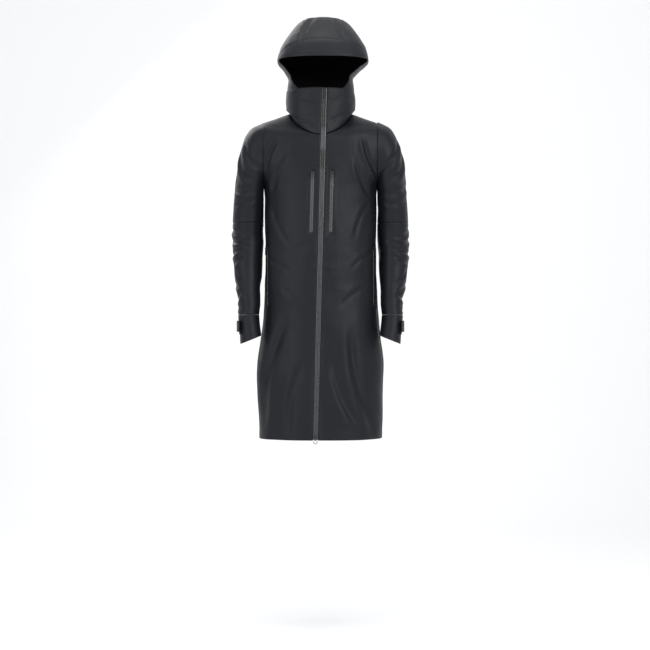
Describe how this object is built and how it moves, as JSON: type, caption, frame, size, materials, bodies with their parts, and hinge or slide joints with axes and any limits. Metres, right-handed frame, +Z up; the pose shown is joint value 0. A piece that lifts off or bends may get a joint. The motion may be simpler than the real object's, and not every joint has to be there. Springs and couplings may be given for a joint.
{
  "type": "hooded hardshell coat",
  "caption": "Knee-length black waterproof hardshell coat with a stiff-brimmed hood, two-way front zip, chest and hand pockets and tabbed cuffs.",
  "frame": {"origin": "the middle of the hanger loop, inside the back of the collar", "axes": "+Z up along the coat from hem to hood, -Y out of the front, +X towards the left sleeve of the wearer"},
  "size_m": [0.556, 0.3093, 1.3304],
  "materials": {
    "shell_fabric": "matt three-layer laminate with a fine plain weave",
    "hood_fabric": "matt three-layer laminate with a fine plain weave",
    "lining": "smooth dark backing",
    "loop_patch": "short looped pile",
    "zip_tape": "glossy polyurethane-coated zip tape",
    "slider_metal": "gunmetal",
    "cord_pull": "black cord and moulded ends",
    "label": "blank woven label"
  },
  "bodies": {
    "root": {"back_skirt": "shell_fabric", "back_yoke": "shell_fabric", "chest_pocket_bag_left": "lining", "chest_pocket_bag_right": "lining", "chest_pocket_zip_left": "zip_tape", "chest_pocket_zip_right": "zip_tape", "chin_guard": "lining", "collar_back": "hood_fabric", "collar_left": "hood_fabric", "collar_right": "hood_fabric", "front_panel_left": "shell_fabric", "front_panel_right": "shell_fabric", "front_skirt_left": "shell_fabric", "front_skirt_right": "shell_fabric", "front_waist_left": "shell_fabric", "front_waist_right": "shell_fabric", "hand_pocket_bag_left": "lining", "hand_pocket_bag_right": "lining", "hand_pocket_zip_left": "zip_tape", "hand_pocket_zip_right": "zip_tape", "hanger_loop": "cord_pull", "hood_neck_gusset": "hood_fabric", "main_zip_tape_left": "zip_tape", "main_zip_tape_right": "zip_tape", "neck_label": "label", "side_panel_left": "shell_fabric", "side_panel_right": "shell_fabric", "storm_flap": "lining"},
    "sleeve_right": {"upper_sleeve_right": "shell_fabric", "elbow_section_right": "shell_fabric"},
    "forearm_body_right": {"forearm_right": "shell_fabric", "cuff_band_right": "shell_fabric", "cuff_loop_patch_right": "loop_patch"},
    "cuff_tab_body_right": {"cuff_tab_right": "shell_fabric"},
    "sleeve_left": {"upper_sleeve_left": "shell_fabric", "elbow_section_left": "shell_fabric"},
    "forearm_body_left": {"forearm_left": "shell_fabric", "cuff_band_left": "shell_fabric", "cuff_loop_patch_left": "loop_patch"},
    "cuff_tab_body_left": {"cuff_tab_left": "shell_fabric"},
    "hood_body": {"hood_brim": "hood_fabric", "hood_crown": "hood_fabric", "hood_side_left": "hood_fabric", "hood_side_right": "hood_fabric", "hood_adjuster": "cord_pull"},
    "main_upper_slider_body": {"main_upper_slider": "slider_metal"},
    "main_upper_pull_body": {"main_upper_pull": "cord_pull"},
    "main_lower_slider_body": {"main_lower_slider": "slider_metal"},
    "main_lower_pull_body": {"main_lower_pull": "slider_metal"},
    "chest_right_slider_body": {"chest_right_slider": "slider_metal"},
    "chest_right_pull_body": {"chest_right_pull": "cord_pull"},
    "chest_left_slider_body": {"chest_left_slider": "slider_metal"},
    "chest_left_pull_body": {"chest_left_pull": "cord_pull"},
    "hand_right_slider_body": {"hand_right_slider": "slider_metal"},
    "hand_right_pull_body": {"hand_right_pull": "cord_pull"},
    "hand_left_slider_body": {"hand_left_slider": "slider_metal"},
    "hand_left_pull_body": {"hand_left_pull": "cord_pull"}
  },
  "joints": [
    {"name": "main_upper_slide", "type": "slide", "parent": "root", "child": "main_upper_slider_body", "axis": [-0.0255, -0.0384, -0.9989], "range_m": [0, 0.6]},
    {"name": "main_upper_pull_swing", "type": "hinge", "parent": "main_upper_slider_body", "child": "main_upper_pull_body", "pos_m": [0.01243, -0.18489, 0.0582], "axis": [-0.9997, 0, 0.0255], "range_deg": [0, 150]},
    {"name": "main_lower_slide", "type": "slide", "parent": "root", "child": "main_lower_slider_body", "axis": [0.0255, 0.0384, 0.9989], "range_m": [0, 0.35]},
    {"name": "main_lower_pull_swing", "type": "hinge", "parent": "main_lower_slider_body", "child": "main_lower_pull_body", "pos_m": [-0.01498, -0.22621, -1.01781], "axis": [-0.9997, 0, 0.0255], "range_deg": [0, 150]},
    {"name": "chest_right_slide", "type": "slide", "parent": "root", "child": "chest_right_slider_body", "axis": [-0.0256, -0.0361, -0.999], "range_m": [0, 0.172]},
    {"name": "chest_right_pull_swing", "type": "hinge", "parent": "chest_right_slider_body", "child": "chest_right_pull_body", "pos_m": [-0.02411, -0.19451, -0.19989], "axis": [-0.9997, 0, 0.0256], "range_deg": [0, 120]},
    {"name": "chest_left_slide", "type": "slide", "parent": "root", "child": "chest_left_slider_body", "axis": [-0.0256, -0.0378, -0.999], "range_m": [0, 0.172]},
    {"name": "chest_left_pull_swing", "type": "hinge", "parent": "chest_left_slider_body", "child": "chest_left_pull_body", "pos_m": [0.03589, -0.19404, -0.19983], "axis": [-0.9997, 0, 0.0256], "range_deg": [0, 120]},
    {"name": "hand_right_slide", "type": "slide", "parent": "root", "child": "hand_right_slider_body", "axis": [0, -0.0793, -0.9969], "range_m": [0, 0.165]},
    {"name": "hand_right_pull_swing", "type": "hinge", "parent": "hand_right_slider_body", "child": "hand_right_pull_body", "pos_m": [-0.17186, -0.11869, -0.42984], "axis": [-0.3648, 0.9281, -0.0738], "range_deg": [0, 50]},
    {"name": "hand_left_slide", "type": "slide", "parent": "root", "child": "hand_left_slider_body", "axis": [0, -0.0793, -0.9969], "range_m": [0, 0.165]},
    {"name": "hand_left_pull_swing", "type": "hinge", "parent": "hand_left_slider_body", "child": "hand_left_pull_body", "pos_m": [0.17186, -0.11869, -0.42984], "axis": [-0.3648, -0.9281, 0.0738], "range_deg": [0, 50]},
    {"name": "shoulder_right_swing", "type": "hinge", "parent": "root", "child": "sleeve_right", "pos_m": [-0.225, -0.075, -0.138], "axis": [-1, 0, 0], "range_deg": [0, 45]},
    {"name": "elbow_right_bend", "type": "hinge", "parent": "sleeve_right", "child": "forearm_body_right", "pos_m": [-0.229, -0.057, -0.402], "axis": [-1, 0, 0], "range_deg": [0, 60], "deforming": ["elbow_section_right"]},
    {"name": "cuff_tab_right_open", "type": "hinge", "parent": "forearm_body_right", "child": "cuff_tab_body_right", "pos_m": [-0.25736, -0.1205, -0.674], "axis": [0, 0, -1], "range_deg": [0, 100]},
    {"name": "shoulder_left_swing", "type": "hinge", "parent": "root", "child": "sleeve_left", "pos_m": [0.225, -0.075, -0.138], "axis": [-1, 0, 0], "range_deg": [0, 45]},
    {"name": "elbow_left_bend", "type": "hinge", "parent": "sleeve_left", "child": "forearm_body_left", "pos_m": [0.229, -0.057, -0.402], "axis": [-1, 0, 0], "range_deg": [0, 60], "deforming": ["elbow_section_left"]},
    {"name": "cuff_tab_left_open", "type": "hinge", "parent": "forearm_body_left", "child": "cuff_tab_body_left", "pos_m": [0.25736, -0.1205, -0.674], "axis": [0, 0, 1], "range_deg": [0, 100]},
    {"name": "hood_fold", "type": "hinge", "parent": "root", "child": "hood_body", "pos_m": [0, 0.025, 0.082], "axis": [-1, 0, 0], "range_deg": [0, 75], "deforming": ["hood_neck_gusset"]}
  ]
}
